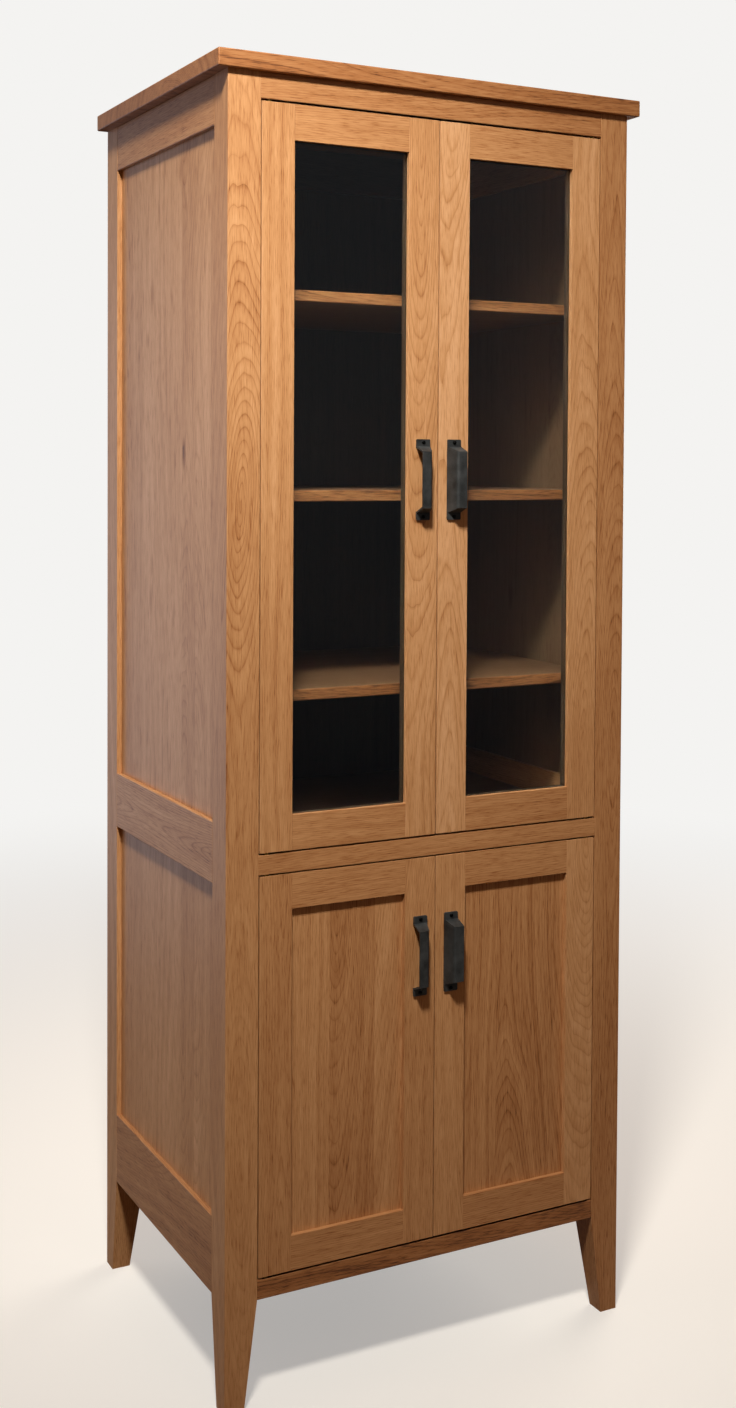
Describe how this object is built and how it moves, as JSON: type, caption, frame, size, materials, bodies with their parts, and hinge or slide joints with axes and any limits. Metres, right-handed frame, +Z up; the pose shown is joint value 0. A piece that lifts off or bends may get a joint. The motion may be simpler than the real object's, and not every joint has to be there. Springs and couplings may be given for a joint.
{
  "type": "china cabinet",
  "caption": "Tall wooden cabinet on tapered legs, with glazed doors over shelves above and panelled doors below, each opened by a black cupped pull.",
  "frame": {"origin": "on the floor, under the centre of the bounding box", "axes": "+X to the viewer's right when the doors are faced, +Y to the back, +Z up; the doors face -Y"},
  "size_m": [0.716, 0.54, 1.93],
  "materials": {
    "frame_wood": "clear satin lacquer",
    "slab_wood": "clear satin lacquer",
    "panel_wood": "clear satin lacquer",
    "inner_wood": "clear satin lacquer",
    "glass": "clear polished",
    "pull_iron": "satin black",
    "screw_steel": "satin black",
    "hinge_brass": "brushed",
    "support_steel": "satin",
    "magnet_black": "matt"
  },
  "bodies": {
    "case": {"top_slab": "slab_wood", "front_left_post": "frame_wood", "front_right_post": "frame_wood", "back_left_post": "frame_wood", "back_right_post": "frame_wood", "front_bottom_rail": "frame_wood", "front_middle_rail": "frame_wood", "front_top_rail": "frame_wood", "left_bottom_rail": "frame_wood", "left_middle_rail": "frame_wood", "left_top_rail": "frame_wood", "right_bottom_rail": "frame_wood", "right_middle_rail": "frame_wood", "right_top_rail": "frame_wood", "back_bottom_rail": "frame_wood", "back_top_rail": "frame_wood", "left_lower_panel": "panel_wood", "left_upper_panel": "panel_wood", "right_lower_panel": "panel_wood", "right_upper_panel": "panel_wood", "back_panel": "inner_wood", "middle_deck": "inner_wood", "bottom_deck": "inner_wood", "lower_shelf": "inner_wood", "low_shelf": "inner_wood", "middle_shelf": "inner_wood", "high_shelf": "inner_wood", "shelf_supports": "support_steel", "case_hinge_leaves": "hinge_brass", "catch_magnets": "magnet_black"},
    "upper_left_door": {"upper_left_hinge_stile": "frame_wood", "upper_left_latch_stile": "frame_wood", "upper_left_door_rails": "frame_wood", "upper_left_hinge_leaves": "hinge_brass", "upper_left_pull": "pull_iron", "upper_left_screws": "screw_steel", "upper_left_glass": "glass", "upper_left_beads": "frame_wood"},
    "upper_right_door": {"upper_right_hinge_stile": "frame_wood", "upper_right_latch_stile": "frame_wood", "upper_right_door_rails": "frame_wood", "upper_right_hinge_leaves": "hinge_brass", "upper_right_pull": "pull_iron", "upper_right_screws": "screw_steel", "upper_right_glass": "glass", "upper_right_beads": "frame_wood"},
    "lower_left_door": {"lower_left_hinge_stile": "frame_wood", "lower_left_latch_stile": "frame_wood", "lower_left_door_rails": "frame_wood", "lower_left_hinge_leaves": "hinge_brass", "lower_left_pull": "pull_iron", "lower_left_screws": "screw_steel", "lower_left_door_panel": "panel_wood"},
    "lower_right_door": {"lower_right_hinge_stile": "frame_wood", "lower_right_latch_stile": "frame_wood", "lower_right_door_rails": "frame_wood", "lower_right_hinge_leaves": "hinge_brass", "lower_right_pull": "pull_iron", "lower_right_screws": "screw_steel", "lower_right_door_panel": "panel_wood"}
  },
  "joints": [
    {"name": "upper_left_hinge", "type": "hinge", "parent": "case", "child": "upper_left_door", "pos_m": [-0.276, -0.242, 0.801], "axis": [0, 0, -1], "range_deg": [0, 110]},
    {"name": "upper_right_hinge", "type": "hinge", "parent": "case", "child": "upper_right_door", "pos_m": [0.276, -0.242, 0.801], "axis": [0, 0, 1], "range_deg": [0, 110]},
    {"name": "lower_left_hinge", "type": "hinge", "parent": "case", "child": "lower_left_door", "pos_m": [-0.276, -0.242, 0.1885], "axis": [0, 0, -1], "range_deg": [0, 110]},
    {"name": "lower_right_hinge", "type": "hinge", "parent": "case", "child": "lower_right_door", "pos_m": [0.276, -0.242, 0.1885], "axis": [0, 0, 1], "range_deg": [0, 110]}
  ]
}
